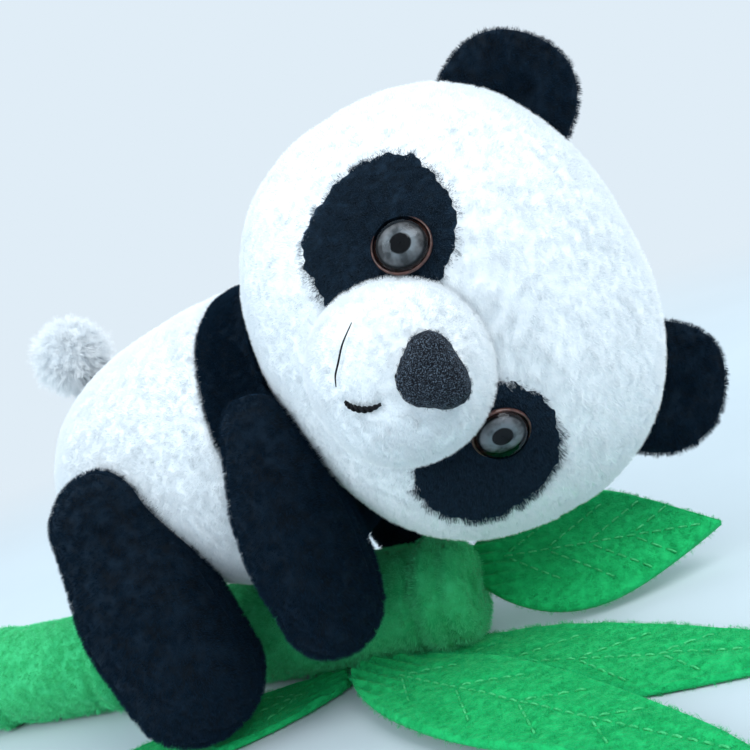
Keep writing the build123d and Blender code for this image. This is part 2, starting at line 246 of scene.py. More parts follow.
def cube_sphere(n):
    """Even directions round a point, and the quads between them."""
    edge = np.tan(np.linspace(-1, 1, n + 1) * math.pi / 4)
    u, v = np.meshgrid(edge, edge, indexing="ij")
    index = np.arange((n + 1) * (n + 1)).reshape(n + 1, n + 1)
    quad = np.stack([index[:-1, :-1], index[1:, :-1], index[1:, 1:], index[:-1, 1:]], -1).reshape(-1, 4)
    points, quads = [], []
    for axis in range(3):
        for sign in (1, -1):
            p = np.empty((n + 1, n + 1, 3))
            p[..., axis] = sign
            p[..., (axis + 1) % 3] = u
            p[..., (axis + 2) % 3] = v
            start = len(points) * (n + 1) * (n + 1)
            points.append(p.reshape(-1, 3))
            quads.append((quad if sign > 0 else quad[:, ::-1]) + start)
    points = np.concatenate(points)
    _, first, back = np.unique(np.round(points, 6), axis=0, return_index=True, return_inverse=True)
    ways = points[first]
    return ways / lengths(ways)[:, None], back.reshape(-1)[np.concatenate(quads)]


def normals_of(verts, faces):
    """Unit normal at each point of a mesh of quads."""
    made = np.zeros_like(verts)
    a, b, c, d = (verts[faces[:, k]] for k in range(4))
    across = np.cross(c - a, d - b)
    for k in range(4):
        np.add.at(made, faces[:, k], across)
    return made / np.maximum(lengths(made), 1e-12)[:, None]


def grid_faces(rows, cols, wrap):
    """Quads of a grid of points, closed round its columns if wrap is set."""
    index = np.arange(rows * cols).reshape(rows, cols)
    if wrap:
        index = np.concatenate([index, index[:, :1]], 1)
    return np.stack([index[:-1, :-1], index[1:, :-1], index[1:, 1:], index[:-1, 1:]], -1).reshape(-1, 4)


def facing_out(verts, faces, origin):
    """The faces, turned over if they look towards the origin."""
    outward = (normals_of(verts, faces) * (verts - np.array(origin))).sum(-1).mean()
    return faces[:, ::-1] if outward < 0 else faces


def thicken(verts, faces, depth):
    """Closed sheet from an open one: the given side, a side depth below it, and the rim."""
    below = verts - normals_of(verts, faces) * depth
    count = len(verts)
    seen = {}
    for face in faces.tolist():
        for a, b in zip(face, face[1:] + face[:1]):
            if a != b:
                seen.setdefault((min(a, b), max(a, b)), []).append((a, b))
    rim = [[b, a, a + count, b + count] for way in seen.values() if len(way) == 1 for a, b in way]
    both = [faces, faces[:, ::-1] + count]
    if rim:
        both.append(np.array(rim))
    return np.concatenate([verts, below]), np.concatenate(both)


def nap(verts, faces, heights, seed):
    """Stuffing unevenness and the cloth's fine nap, pushed along the surface."""
    lump, fine = heights
    out = normals_of(verts, faces)
    push = lump * rough(verts, 15.0, seed) + 0.35 * lump * rough(verts, 6.0, seed + 1)
    push += 0.5 * fine * rough(verts, 1.7, seed + 2)
    return verts + out * push[:, None]


def sink(verts, faces, distance, depth, width):
    """Press the surface in where distance is near zero."""
    return verts - normals_of(verts, faces) * (depth * np.exp(-(distance / width) ** 2))[:, None]


def groove(verts, faces, distance, depth, width):
    """Sewn seam: the surface sinks where distance is near zero and swells beside it."""
    line = np.exp(-(distance / width) ** 2)
    swell = np.exp(-((np.abs(distance) - 3 * width) / (2 * width)) ** 2)
    return verts - normals_of(verts, faces) * (depth * line - 0.3 * depth * swell)[:, None]


def piece(name, verts, faces, materials):
    """Mesh object in metres from points in millimetres. A quad with a doubled corner is a triangle."""
    listed = []
    for face in np.asarray(faces).tolist():
        kept = [v for k, v in enumerate(face) if v != face[k - 1]]
        if len(kept) > 2:
            listed.append(kept)
    mesh = bpy.data.meshes.new(name)
    mesh.from_pydata((np.asarray(verts) * MM).tolist(), [], listed)
    mesh.update()
    mesh.shade_smooth()
    for material in materials:
        mesh.materials.append(material)
    obj = bpy.data.objects.new(name, mesh)
    bpy.context.scene.collection.objects.link(obj)
    return obj


def weigh(obj, weights):
    """Vertex group that says where pile grows, in steps of a tenth."""
    group = obj.vertex_groups.new(name="pile")
    steps = np.round(np.clip(weights, 0, 1) * 10).astype(int)
    for step in range(1, 11):
        chosen = np.nonzero(steps == step)[0].tolist()
        if chosen:
            group.add(chosen, step / 10, "REPLACE")


def area_mm2(verts, faces):
    a, b, c, d = (verts[faces[:, k]] for k in range(4))
    return float(lengths(np.cross(c - a, d - b)).sum() / 2)


def pile(obj, area, sizes, seed, droop=(0.0, 0.0, -0.25), curl=0.2, spread=0.85):
    """Short plush pile as hair strands, over an area in mm2."""
    length, density, width = sizes
    obj.modifiers.new("pile", "PARTICLE_SYSTEM")
    system = obj.particle_systems[-1]
    system.seed = seed
    if "pile" in obj.vertex_groups:
        system.vertex_group_density = "pile"
    s = system.settings
    children = 8
    s.type = "HAIR"
    s.count = max(200, int(area * density / children))
    s.hair_step = 3
    s.hair_length = length * MM
    s.emit_from = "FACE"
    s.distribution = "RAND"
    s.use_emit_random = True
    s.use_even_distribution = True
    s.use_advanced_hair = True
    speed = length * MM / 4
    s.normal_factor = speed
    s.object_align_factor = [speed * d for d in droop]
    s.brownian_factor = speed * curl
    s.factor_random = speed * curl
    s.child_type = "SIMPLE"
    s.rendered_child_count = children
    s.child_percent = 1
    s.child_radius = spread * MM
    s.child_roundness = 0.4
    s.child_length = 1.0
    s.roughness_endpoint = 0.0001
    s.render_step = 2
    s.display_step = 2
    s.use_close_tip = True
    s.root_radius = width
    s.tip_radius = width * 0.35
    s.radius_scale = MM / 2
    s.material = len(obj.data.materials)


# ---- materials ---------------------------------------------------------------
def srgb(r, g, b):
    """Linear colour of a screen colour from 0 to 255."""
    return tuple(((c / 255 + 0.055) / 1.055) ** 2.4 for c in (r, g, b)) + (1.0,)


def blank(name):
    """New material with its node tree and its Principled shader."""
    material = bpy.data.materials.new(name)
    material.use_nodes = True
    return material, material.node_tree, material.node_tree.nodes["Principled BSDF"]


def surface(name, dark, light, size, roughness, sheen=0.0, tint=None, bump=0.0, bump_size=900.0,
            low=0.36, high=0.64):
    """Principled surface with two tones mottled by noise, and a fine bump."""
    material, tree, shader = blank(name)
    place = tree.nodes.new("ShaderNodeTexCoord")
    noise = tree.nodes.new("ShaderNodeTexNoise")
    noise.inputs["Scale"].default_value = size
    noise.inputs["Detail"].default_value = 4.0
    ramp = tree.nodes.new("ShaderNodeValToRGB")
    ramp.color_ramp.elements[0].position = low
    ramp.color_ramp.elements[0].color = dark
    ramp.color_ramp.elements[1].position = high
    ramp.color_ramp.elements[1].color = light
    tree.links.new(place.outputs["Object"], noise.inputs["Vector"])
    tree.links.new(noise.outputs["Fac"], ramp.inputs["Fac"])
    tree.links.new(ramp.outputs["Color"], shader.inputs["Base Color"])
    shader.inputs["Roughness"].default_value = roughness
    shader.inputs["Specular IOR Level"].default_value = 0.5 if roughness < 0.5 else 0.15
    shader.inputs["Sheen Weight"].default_value = sheen
    shader.inputs["Sheen Roughness"].default_value = 0.4
    shader.inputs["Sheen Tint"].default_value = tint or light
    if bump:
        grain = tree.nodes.new("ShaderNodeTexNoise")
        grain.inputs["Scale"].default_value = bump_size
        height = tree.nodes.new("ShaderNodeBump")
        height.inputs["Strength"].default_value = bump
        height.inputs["Distance"].default_value = 0.0006
        tree.links.new(place.outputs["Object"], grain.inputs["Vector"])
        tree.links.new(grain.outputs["Fac"], height.inputs["Height"])
        tree.links.new(height.outputs["Normal"], shader.inputs["Normal"])
    return material


def fibre(name, root, tip, vary, sheen, tint):
    """Pile strands: darker at the root as painted shade deep in the pile, each strand a little different.
    """
    material, tree, shader = blank(name)
    strand = tree.nodes.new("ShaderNodeHairInfo")
    # the root colour is the tip colour with painted shade for the depth of the pile
    root_shade = tree.nodes.new("ShaderNodeMix")
    root_shade.data_type = "RGBA"
    root_shade.inputs["A"].default_value = root
    root_shade.inputs["B"].default_value = tip
    tree.links.new(strand.outputs["Intercept"], root_shade.inputs["Factor"])
    own = tree.nodes.new("ShaderNodeMapRange")
    own.inputs["To Min"].default_value = 1 - vary
    own.inputs["To Max"].default_value = 1 + vary
    tree.links.new(strand.outputs["Random"], own.inputs["Value"])
    tone = tree.nodes.new("ShaderNodeHueSaturation")
    tree.links.new(own.outputs["Result"], tone.inputs["Value"])
    tree.links.new(root_shade.outputs["Result"], tone.inputs["Color"])
    tree.links.new(tone.outputs["Color"], shader.inputs["Base Color"])
    shader.inputs["Roughness"].default_value = 0.75
    shader.inputs["Specular IOR Level"].default_value = 0.12
    shader.inputs["Sheen Weight"].default_value = sheen
    shader.inputs["Sheen Tint"].default_value = tint
    return material


WHITE = surface("white_plush_cloth", (0.80, 0.84, 0.87, 1), (0.86, 0.89, 0.91, 1), 700.0, 0.9, 0.4,
                (1, 1, 1, 1), 0.3)
WHITE_FIBRE = fibre("white_plush_pile", (0.78, 0.83, 0.87, 1), (0.91, 0.935, 0.95, 1), 0.02, 0.15,
                    (1, 1, 1, 1))
BLACK = surface("black_plush_cloth", (0.001, 0.004, 0.008, 1), (0.003, 0.011, 0.022, 1), 260.0, 0.9, 0.2,
                (0.04, 0.16, 0.34, 1), 0.4)
BLACK_FIBRE = fibre("black_plush_pile", (0.001, 0.0045, 0.009, 1), (0.005, 0.021, 0.044, 1), 0.4, 0.16,
                    (0.03, 0.18, 0.42, 1))
PATCH = surface("patch_plush_cloth", (0.002, 0.007, 0.013, 1), (0.006, 0.018, 0.034, 1), 700.0, 0.9, 0.4,
                (0.3, 0.5, 0.8, 1), 0.3)
PATCH_FIBRE = fibre("patch_plush_pile", (0.002, 0.007, 0.013, 1), (0.013, 0.036, 0.064, 1), 0.6, 0.2,
                    (0.4, 0.6, 0.9, 1))
GREEN = surface("green_plush_cloth", (0.02, 0.36, 0.12, 1), (0.05, 0.52, 0.2, 1), 260.0, 0.9, 0.3,
                (0.5, 0.9, 0.6, 1), 0.5)
GREEN_FIBRE = fibre("green_plush_pile", (0.045, 0.50, 0.20, 1), (0.12, 0.80, 0.36, 1), 0.08, 0.15,
                    (0.5, 0.9, 0.6, 1))
LEAF = surface("leaf_cloth", (0.005, 0.36, 0.10, 1), (0.012, 0.48, 0.14, 1), 500.0, 0.85, 0.25,
               (0.3, 0.8, 0.4, 1), 0.7, 1500.0)
LEAF_FIBRE = fibre("leaf_nap", (0.006, 0.36, 0.12, 1), (0.016, 0.53, 0.18, 1), 0.08, 0.1,
                   (0.4, 0.9, 0.5, 1))
VEIN = surface("vein_thread", (0.03, 0.42, 0.13, 1), (0.09, 0.6, 0.24, 1), 900.0, 0.6, 0.2,
               None, 0.6, 2500.0)
BLACK_THREAD = surface("black_thread", (0.001, 0.001, 0.002, 1), (0.006, 0.007, 0.010, 1), 1500.0, 0.6, 0.0,
                       None, 0.7, 2600.0)
WHITE_THREAD = surface("white_thread", (0.7, 0.72, 0.74, 1), (0.88, 0.9, 0.92, 1), 900.0, 0.6, 0.2,
                       None, 0.6)
AMBER_THREAD = surface("amber_thread", (0.55, 0.25, 0.03, 1), (0.8, 0.42, 0.08, 1), 900.0, 0.6, 0.1,
                       None, 0.5)
FLOCK = surface("flocked_nose", (0.001, 0.002, 0.005, 1), (0.11, 0.15, 0.20, 1), 3900.0, 0.7, 0.1,
                (0.5, 0.6, 0.8, 1), 1.0, 2600.0, low=0.50, high=0.68)
FLOCK_FIBRE = fibre("nose_flock", (0.001, 0.002, 0.005, 1), (0.05, 0.07, 0.10, 1), 0.98, 0.1,
                    (0.7, 0.8, 1, 1))
RIM = surface("eye_rim", (0.03, 0.010, 0.008, 1), (0.11, 0.045, 0.035, 1), 700.0, 0.3, 0.0, None, 0.2)


def iris_material():
    """Black pupil in a grey ring, painted on the back of a clear eye; the pale blotchy grey of the ring is
    partly the iris's own tone and partly a painted reflection of the bright room.
    """
    material, tree, shader = blank("eye_iris")
    mark = tree.nodes.new("ShaderNodeAttribute")
    mark.attribute_name = "ring"
    ramp = tree.nodes.new("ShaderNodeValToRGB")
    ramp.color_ramp.interpolation = "EASE"
    # the pale grey stops between 0.43 and 0.76 hold the iris's tone and a painted reflection of the bright
    # room
    stops = (
        (0.0, (0.001, 0.001, 0.001, 1)), (0.36, (0.002, 0.002, 0.002, 1)),
        (0.43, (0.17, 0.21, 0.235, 1)), (0.76, (0.26, 0.29, 0.31, 1)),
        (0.86, (0.01, 0.01, 0.011, 1)), (0.98, (0.09, 0.04, 0.03, 1)),
    )
    ramp.color_ramp.elements[0].color = stops[0][1]
    ramp.color_ramp.elements[1].position, ramp.color_ramp.elements[1].color = stops[-1]
    for at, colour in stops[1:-1]:
        ramp.color_ramp.elements.new(at).color = colour
    tree.links.new(mark.outputs["Fac"], ramp.inputs["Fac"])
    place = tree.nodes.new("ShaderNodeTexCoord")
    # blotches that brighten and darken the ring: painted reflection of the room's windows
    reflection_blotches = tree.nodes.new("ShaderNodeTexNoise")
    reflection_blotches.inputs["Scale"].default_value = 330.0
    dim = tree.nodes.new("ShaderNodeMapRange")
    dim.inputs["From Min"].default_value = 0.38
    dim.inputs["From Max"].default_value = 0.62
    dim.inputs["To Min"].default_value = 0.35
    dim.inputs["To Max"].default_value = 1.35
    tone = tree.nodes.new("ShaderNodeHueSaturation")
    tree.links.new(place.outputs["Object"], reflection_blotches.inputs["Vector"])
    tree.links.new(reflection_blotches.outputs["Fac"], dim.inputs["Value"])
    tree.links.new(dim.outputs["Result"], tone.inputs["Value"])
    tree.links.new(ramp.outputs["Color"], tone.inputs["Color"])
    tree.links.new(tone.outputs["Color"], shader.inputs["Base Color"])
    shader.inputs["Roughness"].default_value = 0.4
    shader.inputs["Specular IOR Level"].default_value = 0.0
    return material


def glass_material():
    """Clear acrylic seen as a sharp reflection over what lies behind it."""
    material, tree, shader = blank("clear_eye")
    tree.nodes.remove(shader)
    see = tree.nodes.new("ShaderNodeBsdfTransparent")
    see.inputs["Color"].default_value = (0.86, 0.84, 0.84, 1)
    shine = tree.nodes.new("ShaderNodeBsdfGlossy")
    shine.inputs["Roughness"].default_value = 0.02
    shine.inputs["Color"].default_value = (0.28, 0.31, 0.34, 1)
    fresnel = tree.nodes.new("ShaderNodeFresnel")
    fresnel.inputs["IOR"].default_value = 1.55
    mix = tree.nodes.new("ShaderNodeMixShader")
    tree.links.new(fresnel.outputs["Fac"], mix.inputs["Fac"])
    tree.links.new(see.outputs["BSDF"], mix.inputs[1])
    tree.links.new(shine.outputs["BSDF"], mix.inputs[2])
    tree.links.new(mix.outputs["Shader"], tree.nodes["Material Output"].inputs["Surface"])
    return material


ROOM = srgb(224, 237, 247)
IRIS = iris_material()
GLASS = glass_material()


# ---- head ----------------------------------------------------------------------
def in_patch(x, z, side, grow=0.0):
    """Below 1 inside an eye patch's outline, in head axes."""
    cx, cz, half_x, half_z, tilt = PATCHES[side]
    lean = math.radians(tilt)
    u = (x - cx) * math.cos(lean) - (z - cz) * math.sin(lean)
    v = (x - cx) * math.sin(lean) + (z - cz) * math.cos(lean)
    return np.sqrt((u / (half_x + grow)) ** 2 + (v / (half_z + grow)) ** 2)


def make_head():
    ways, faces = cube_sphere(HEAD_MESH)
    local = cast(head_field, np.zeros(3), ways)
    local = nap(local, faces, HEAD_NAP, seed=11)
    local = groove(local, faces, local[:, 1] - HEAD_SEAM_Y, depth=0.7, width=0.8)
    muzzle_gap = muzzle_field(local)
    local = sink(local, faces, muzzle_gap, depth=0.8, width=1.6)
    covered = np.zeros(len(local), bool)
    for side in PATCHES:
        covered |= (in_patch(local[:, 0], local[:, 2], side, -0.4) < 1) & (local[:, 1] < 0)
    covered |= muzzle_gap < 0
    head = piece("plush_head", from_head(local), faces, [WHITE, WHITE_FIBRE])
    weigh(head, 1.0 - covered)
    pile(head, area_mm2(local, faces), HEAD_PILE, seed=21, droop=(0.1, 0, -0.3))
    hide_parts("head_face_panel", "head_back_panel", "head_stuffing", "eye_washers", "nose_washer")
    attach(head, "head")


def make_muzzle():
    ways, faces = cube_sphere(MUZZLE_MESH)
    local = cast(muzzle_field, np.array(MUZZLE_C), ways)
    local = nap(local, faces, MUZZLE_NAP, seed=13)
    smile = smile_gap(local)
    local = sink(local, faces, smile, depth=0.7, width=1.0)
    muzzle = piece("plush_muzzle", from_head(local), faces, [WHITE, WHITE_FIBRE])
    from_nose = lengths((local[:, [0, 2]] - np.array(NOSE_C)) / np.array(NOSE_SEMI))
    under_nose = (local[:, 1] < MUZZLE_C[1]) & (from_nose < 0.95)
    hidden = (head_field(local) < -1.0) | under_nose
    shorter = 1.0 - 0.85 * np.exp(-(smile / 0.8) ** 2)
    weigh(muzzle, shorter * ~hidden)
    pile(muzzle, area_mm2(local, faces), MUZZLE_PILE, seed=22)
    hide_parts("muzzle_cover", "muzzle_stuffing")
    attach(muzzle, "head")


def curve_through(points, count):
    """Smooth run of points through the given ones."""
    points = np.asarray(points, float)
    padded = np.concatenate([[2 * points[0] - points[1]], points, [2 * points[-1] - points[-2]]])
    out = []
    for k in np.linspace(0, len(points) - 1 - 1e-9, count):
        i, t = int(k), k - int(k)
        a, b, c, d = padded[i:i + 4]
        bend, twist = 2 * a - 5 * b + 4 * c - d, 3 * b - a - 3 * c + d
        out.append(0.5 * (2 * b + (c - a) * t + bend * t ** 2 + twist * t ** 3))
    return np.array(out)


def smile_gap(local):
    """Distance from each point of the muzzle's face to the smile."""
    path = np.concatenate([curve_through(SMILE_SIDE, 24), curve_through(SMILE_MIDDLE, 24)])
    gap = np.min(lengths(local[:, None, [0, 2]] - path[None]), 1)
    return np.where(local[:, 1] < MUZZLE_C[1], gap, 50.0)


def face_point(x, z, lift=0.0):
    """Points on the front of the face at head-axes x and z."""
    x, z = np.broadcast_arrays(np.asarray(x, float), np.asarray(z, float))
    start = np.stack([x, np.full_like(x, -4.0), z], -1).reshape(-1, 3)
    ways = np.tile([0.0, -1.0, 0.0], (len(start), 1))
    found = cast(lambda p: np.minimum(head_field(p), muzzle_field(p)), start, ways, 80.0)
    return found + ways * lift


def tube(path, radii, sides=10):
    """Closed tube of changing thickness along a path."""
    path = np.asarray(path, float)
    tangent = np.gradient(path, axis=0)
    tangent /= lengths(tangent)[:, None]
    side = np.cross(tangent, [0.31, 0.17, 0.93])
    side /= lengths(side)[:, None]
    up = np.cross(tangent, side)
    angles = np.linspace(0, 2 * math.pi, sides, endpoint=False)
    ring = side[:, None] * np.cos(angles)[None, :, None] + up[:, None] * np.sin(angles)[None, :, None]
    verts = (path[:, None] + ring * np.asarray(radii)[:, None, None]).reshape(-1, 3)
    faces = grid_faces(len(path), sides, True)
    count = len(verts)
    verts = np.concatenate([verts, path[:1], path[-1:]])
    last = count - sides
    caps = []
    for k in range(sides):
        n = (k + 1) % sides
        caps.append([count, count, n, k])
        caps.append([count + 1, count + 1, last + k, last + n])
    return verts, np.concatenate([faces[:, ::-1], np.array(caps)])


def merge(parts):
    """One mesh from several pairs of points and faces."""
    verts, faces, start = [], [], 0
    for v, f in parts:
        verts.append(v)
        faces.append(f + start)
        start += len(v)
    return np.concatenate(verts), np.concatenate(faces)


def make_smile():
    """A fine stitched line at the side of the mouth, and a twisted thicker one under the nose."""
    parts = []
    for points, thin, thick, strands, wind in (
        (SMILE_SIDE, 0.06, 0.2, 1, 0.0),
        (SMILE_MIDDLE, 0.16, 0.36, 2, 0.40),
    ):
        flat = curve_through(points, 110)
        path = face_point(flat[:, 0], flat[:, 1], 0.6)
        share = np.linspace(0, 1, len(path))
        swell = np.sin(math.pi * np.clip(share * 0.9 + 0.05, 0, 1)) ** 0.7
        way = np.gradient(path, axis=0)
        way /= lengths(way)[:, None]
        side = np.cross(way, [0.0, 1.0, 0.0])
        for k in range(strands):
            phase = share * SMILE_TWISTS * 2 * math.pi + k * 2 * math.pi / strands
            shift = side * np.cos(phase)[:, None] + np.array([0.0, -1.0, 0.0]) * np.sin(phase)[:, None]
            parts.append(tube(path + shift * (wind * swell)[:, None], thin + (thick - thin) * swell))
    verts, faces = merge(parts)
    smile = piece("smile_stitches", from_head(verts), faces, [BLACK_THREAD])
    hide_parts("mouth_stitching")
    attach(smile, "head")


def make_nose():
    ways, faces = cube_sphere(NOSE_MESH)
    middle = face_point(NOSE_C[0], NOSE_C[1])[0]
    angle = np.arctan2(ways[:, 2], ways[:, 0])
    corner = 1 + 0.13 * np.cos(3 * (angle - math.pi / 6)) + 0.02 * np.cos(angle)
    semi = np.array([NOSE_SEMI[0], NOSE_RISE, NOSE_SEMI[1]])
    flat = np.sqrt(ways[:, 0] ** 2 + ways[:, 2] ** 2)
    size = (flat ** 2.3 + np.abs(ways[:, 1]) ** 2.3) ** (-1 / 2.3)
    local = ways * size[:, None] * semi
    local[:, 0] *= 1 + (corner - 1) * flat
    local[:, 2] *= 1 + (corner - 1) * flat
    local[:, 1] *= np.where(local[:, 1] > 0, 0.9, 1.0)
    tilt = turn("x", 12.0)
    local = middle + np.array([0.0, 0.6, 0.0]) + local @ tilt.T
    out = normals_of(local, faces)
    local = local + out * (0.12 * rough(local, 0.8, 17))[:, None]
    nose = piece("flocked_nose_pad", from_head(local), faces, [FLOCK, FLOCK_FIBRE])
    pile(nose, area_mm2(local, faces), NOSE_PILE, seed=23, droop=(0, 0, 0), curl=0.8, spread=0.5)
    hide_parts("nose")
    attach(nose, "head")


def make_patch(side):
    rings, spokes = 22, 132
    cx, cz, half_x, half_z, tilt = PATCHES[side]
    share = np.linspace(0, 1, rings + 1)[1:]
    angle = np.linspace(0, 2 * math.pi, spokes, endpoint=False)
    r, a = np.meshgrid(share, angle, indexing="ij")
    wobble = 1 + 0.02 * np.sin(3 * a + 1.0) + 0.018 * np.sin(17 * a) + 0.012 * np.sin(41 * a + 2.0)
    oval = (np.abs(np.cos(a)) ** 2.2 + np.abs(np.sin(a)) ** 2.2) ** (-1 / 2.2)
    u, v = r * np.cos(a) * half_x * oval * wobble, r * np.sin(a) * half_z * oval * wobble
    lean = math.radians(tilt)
    x = cx + u * math.cos(lean) + v * math.sin(lean)
    z = cz - u * math.sin(lean) + v * math.cos(lean)
    local = face_point(np.append(x.ravel(), cx), np.append(z.ravel(), cz))
    local = np.where(muzzle_field(local)[:, None] < 0.05, head_point(local), local)
    count = rings * spokes
    index = np.arange(spokes)
    centre = np.stack([np.full(spokes, count), np.full(spokes, count), (index + 1) % spokes, index], -1)
    faces = np.concatenate([grid_faces(rings, spokes, True)[:, ::-1], centre])
    faces = facing_out(local, faces, (0, 0, 0))
    edge = np.append(r.ravel(), 0.0)
    rise = PATCH_RISE * (1 - edge ** 8) - 0.35 * edge ** 8 + 0.1 * rough(local, 6.0, 31)
    local = local + normals_of(local, faces) * rise[:, None]
    verts, closed = thicken(local, faces, 1.3)
    name = side + "_eye_patch_plush"
    patch = piece(name, from_head(verts), closed, [PATCH, PATCH_FIBRE])
    centre_of_eye = eye_place(-1 if side == "right" else 1)[0]
    by_eye = lengths(verts - to_head(centre_of_eye)) < EYE_R + 0.1
    weigh(patch, np.where(by_eye, 0, 1) * np.r_[1.0 - 0.65 * (edge > 0.92), np.zeros(len(local))])
    pile(patch, area_mm2(local, faces) * 2, PATCH_PILE, seed=24 if side == "right" else 25)
    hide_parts(side + "_eye_patch")
    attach(patch, "head")


def head_point(local):
    """The head's own surface on the line from its centre through each point."""
    ways = local / lengths(local)[:, None]
    return cast(head_field, np.zeros(3), ways)


def eye_place(side):
    """Where an eye sits in the shared frame, and its outward direction."""
    at = face_point(*EYES[side])[0]
    way = at / np.linalg.norm(at)
    return from_head(at + way * EYE_STAND), HEAD_AXES @ way


def make_eye(side, name):
    """Clear dome, painted iris behind it and a thin rim."""
    at, out = eye_place(side)
    across = np.cross(out, [0.0, 0.0, 1.0])
    across /= np.linalg.norm(across)
    axes = np.stack([across, np.cross(out, across), out], 1)

    ways, faces = cube_sphere(EYE_MESH)
    dome = ways * np.array([EYE_R, EYE_R, EYE_DOME])
    dome[:, 2] = np.where(dome[:, 2] < -0.5, -0.5, dome[:, 2])
    clear = piece(name + "_eye_clear_dome", at + dome @ axes.T, faces, [GLASS])
    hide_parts(name + "_eye_dome")
    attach(clear, "head")

    rings, spokes = 20, 64
    share = np.linspace(0.02, 1, rings)
    angle = np.linspace(0, 2 * math.pi, spokes, endpoint=False)
    r, a = np.meshgrid(share, angle, indexing="ij")
    reach = EYE_R * 0.965
    crown = 0.5 + 1.0 * (1 - r ** 2)
    dish = np.stack([r * np.cos(a) * reach, r * np.sin(a) * reach, crown], -1).reshape(-1, 3)
    sheet = grid_faces(rings, spokes, True)
    verts, closed = thicken(dish, sheet, 0.4)
    iris = piece(name + "_eye_iris", at + verts @ axes.T, closed, [IRIS])
    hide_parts(name + "_eye_backing")
    mark = iris.data.attributes.new("ring", "FLOAT", "POINT")
    mark.data.foreach_set("value", np.concatenate([r.ravel(), r.ravel()]).astype(np.float32))
    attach(iris, "head")

    rows, cols = 72, 12
    loop = np.linspace(0, 2 * math.pi, rows, endpoint=False)
    bead = np.linspace(0, 2 * math.pi, cols, endpoint=False)
    t, b = np.meshgrid(loop, bead, indexing="ij")
    wide = EYE_R + 0.05 + 0.34 * np.cos(b)
    ring = np.stack([wide * np.cos(t), wide * np.sin(t), 0.25 + 0.5 * np.sin(b)], -1).reshape(-1, 3)
    index = np.arange(rows * cols).reshape(rows, cols)
    nxt, side_next = np.roll(index, -1, 0), np.roll(index, -1, 1)
    both = np.roll(nxt, -1, 1)
    quads = np.stack([index, nxt, both, side_next], -1).reshape(-1, 4)
    rim = piece(name + "_eye_rim", at + ring @ axes.T, quads, [RIM])
    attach(rim, "head")


def make_ear(side, name):
    lean = turn("y", side * EAR_LEAN)
    centre = np.array([side * EAR_C[0] + EAR_SHIFT[0], EAR_C[1], EAR_C[2] + min(0, side * EAR_SHIFT[1])])

    def field(p):
        own = (p - centre) @ lean
        blade = superball(own, (0, 0, 0), EAR_SEMI, 2.35)
        hollow = ball(own, *EAR_HOLLOW)
        return np.maximum(np.maximum(blade, -hollow), -head_field(p) - 2.0)

    ways, faces = cube_sphere(EAR_MESH)
    local = cast(field, centre + lean @ np.array([0.0, 0.6, 8.0]), ways)
    local = nap(local, faces, EAR_NAP, seed=41 + side)
    own = (local - centre) @ lean
    local = groove(local, faces, own[:, 1], depth=0.5, width=0.5)
    ear = piece(name + "_ear_plush", from_head(local), faces, [BLACK, BLACK_FIBRE])
    weigh(ear, (head_field(local) > -0.6) * 1.0)
    pile(ear, area_mm2(local, faces), EAR_PILE, seed=43 + side)
    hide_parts(name + "_ear_front", name + "_ear_back")
    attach(ear, name + "_ear")


# ---- body ------------------------------------------------------------------------
def band_edge(angle):
    """Rear edge of the shoulder band at an angle round the torso, 0 at the top."""
    return BAND_TOP_X + (BAND_LOW_X - BAND_TOP_X) * (1 - np.cos(angle)) / 2


def make_torso():
    spokes, white_rows, black_rows = 200, 96, 70
    origin = np.array([0.0, 0.0, TORSO_Z])
    angle = np.linspace(0, 2 * math.pi, spokes, endpoint=False)
    round_way = np.stack([np.zeros(spokes), np.sin(angle), np.cos(angle)], -1)

    def at(polar):
        """The torso's surface at an angle from the rump's pole, one point for each spoke."""
        way = round_way * np.sin(polar)[:, None]
        way[:, 0] = -np.cos(polar)
        return cast(torso_field, origin, way)

    low, high = np.full(spokes, 0.2), np.full(spokes, 2.9)
    for _ in range(18):
        middle = (low + high) / 2
        behind = at(middle)[:, 0] < band_edge(angle)
        low, high = np.where(behind, middle, low), np.where(behind, high, middle)
    rump_pole, neck_pole = 0.012, 3.13
    white = np.stack([at(rump_pole + (low - rump_pole) * s) for s in np.linspace(0, 1, white_rows)])
    black = np.stack([at(low + (neck_pole - low) * s) for s in np.linspace(0, 1, black_rows)])
    angles = np.tile(angle, (max(white_rows, black_rows), 1))
    for name, sheet, cloth, fur, slot, node, seed in (
        ("plush_torso", white, WHITE, WHITE_FIBRE, "white_plush", ("torso_cover", "torso_stuffing"), 51),
        ("plush_shoulder_band", black, BLACK, BLACK_FIBRE, "black_plush", ("shoulder_band",), 52),
    ):
        rows = len(sheet)
        verts = sheet.reshape(-1, 3)
        faces = facing_out(verts, grid_faces(rows, spokes, True), origin)
        verts = nap(verts, faces, TORSO_NAP, seed=53)
        edge = verts[:, 0] - band_edge(angles[:rows].ravel())
        verts = groove(verts, faces, edge, depth=0.8, width=0.9)
        if slot == "white_plush":
            back_seam = np.where(verts[:, 2] < TORSO_Z, verts[:, 1] + 60, verts[:, 1])
            verts = groove(verts, faces, back_seam, depth=0.5, width=0.6)
        area = area_mm2(verts, faces)
        solid, closed = thicken(verts, faces, PANEL_T)
        body = piece(name, solid, closed, [cloth, fur])
        bare = head_field(to_head(verts)) < NECK_AIR + 0.6
        weigh(body, np.r_[1.0 - bare, np.zeros(len(verts))])
        pile(body, area * 2, TORSO_PILE, seed)
        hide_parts(*node)
        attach(body, "torso")


